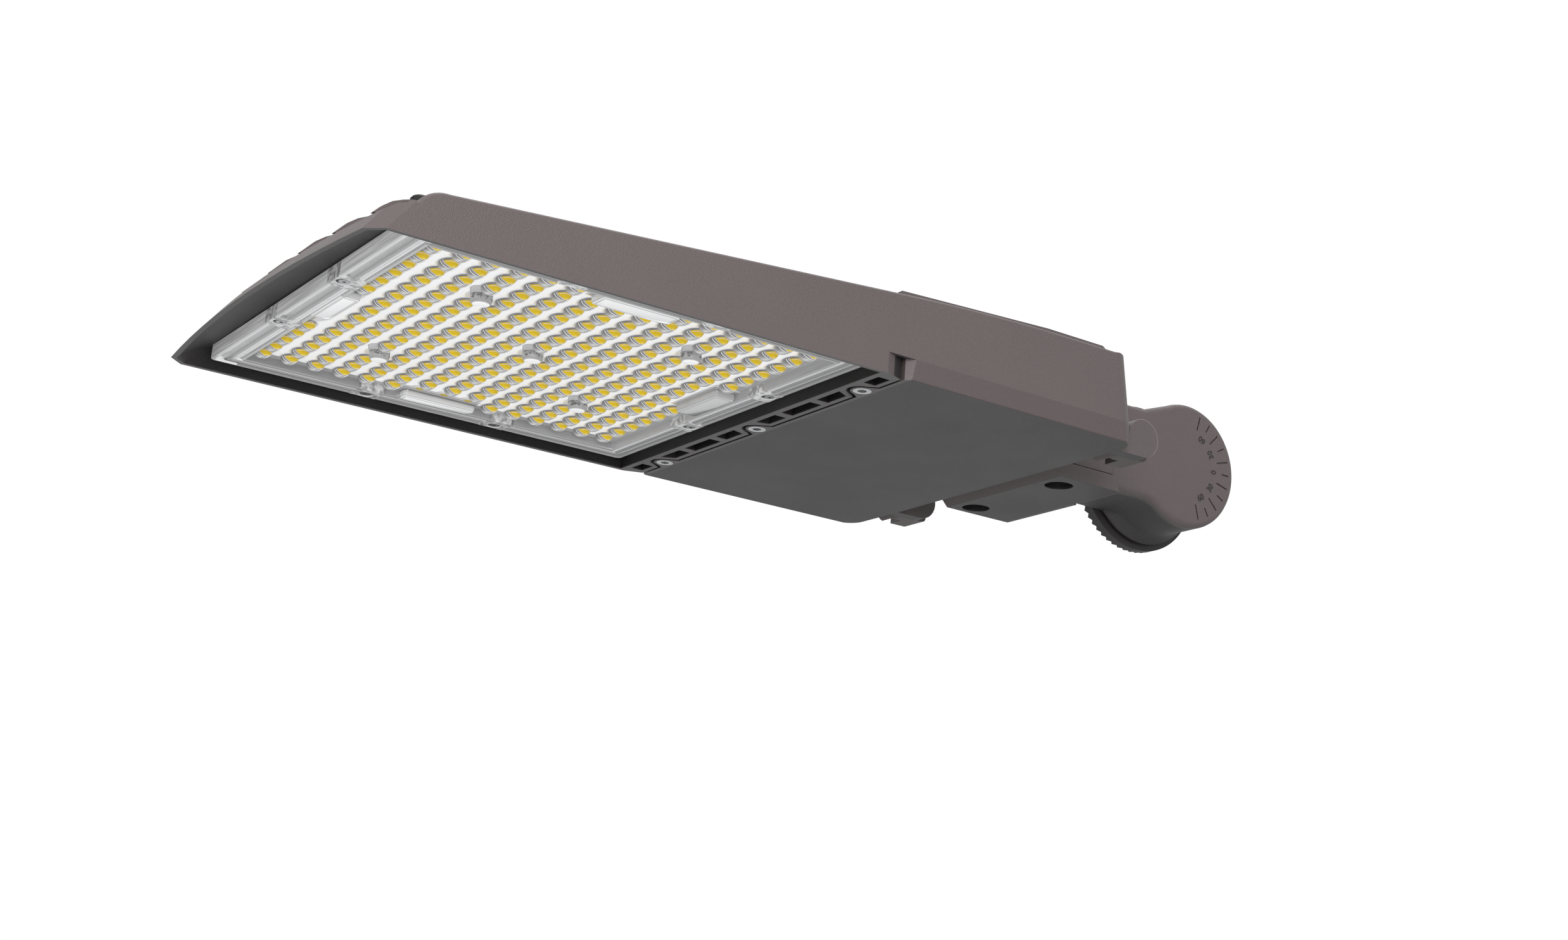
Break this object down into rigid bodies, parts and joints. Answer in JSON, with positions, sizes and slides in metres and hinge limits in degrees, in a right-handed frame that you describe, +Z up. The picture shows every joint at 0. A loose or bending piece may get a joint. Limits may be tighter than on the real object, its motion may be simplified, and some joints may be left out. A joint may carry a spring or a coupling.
{
  "type": "shoebox area light",
  "caption": "Shoebox LED area light with a ribbed die-cast housing, clear lens plate, hinged driver door with captive screws, and an adjustable knuckle arm.",
  "frame": {"origin": "knuckle pivot, at the face that the knuckle teeth stand on and the mouth of the knuckle bolt hole", "axes": "+X from the light towards its mount, +Y out of the toothed face, +Z up; the lens faces down along -Z"},
  "size_m": [0.744, 0.319, 0.11],
  "materials": {
    "bronze_paint": "fine-textured dark bronze powder coat",
    "black_plastic": "matte",
    "white_board": "matte white solder mask",
    "led_yellow": "phosphor under clear resin",
    "black_rubber": "matte",
    "clear_lens": "clear, moulded",
    "bright_steel": "bright stainless",
    "driver_case": "plain",
    "white_plastic": "matte",
    "green_screw": "green plated"
  },
  "bodies": {
    "fixture": {"housing": "bronze_paint", "mount_arm": "bronze_paint", "arm_side_cover": "bronze_paint", "vent_plug": "black_plastic", "led_board": "white_board", "led_chips": "led_yellow", "lens_gasket": "black_rubber", "lens_plate": "clear_lens", "lens_screws": "bright_steel", "door_gasket": "black_rubber", "led_driver": "driver_case", "driver_screws": "bright_steel", "surge_protector": "black_plastic", "surge_screws": "bright_steel", "terminal_block": "white_plastic", "terminal_screws": "bright_steel", "ground_screw": "green_screw", "output_lead": "white_plastic", "input_leads": "black_plastic", "duct_grommet": "black_rubber", "arm_grommet": "black_rubber", "arm_gasket": "black_rubber", "arm_bolts": "bright_steel", "arm_washers": "bright_steel"},
    "door": {"door": "bronze_paint", "captive_rings": "bright_steel", "hinge_pins": "bright_steel"},
    "screw_near": {"door_screw_near": "bright_steel"},
    "screw_middle": {"door_screw_middle": "bright_steel"},
    "screw_far": {"door_screw_far": "bright_steel"}
  },
  "joints": [
    {"name": "door_hinge", "type": "hinge", "parent": "fixture", "child": "door", "pos_m": [-0.1152, 0.0066, -0.021], "axis": [0, -1, 0], "range_deg": [0, 90]},
    {"name": "screw_near_slide", "type": "slide", "parent": "door", "child": "screw_near", "axis": [0, 0, -1], "range_m": [0, 0.0075]},
    {"name": "screw_middle_slide", "type": "slide", "parent": "door", "child": "screw_middle", "axis": [0, 0, -1], "range_m": [0, 0.0075]},
    {"name": "screw_far_slide", "type": "slide", "parent": "door", "child": "screw_far", "axis": [0, 0, -1], "range_m": [0, 0.0075]}
  ]
}
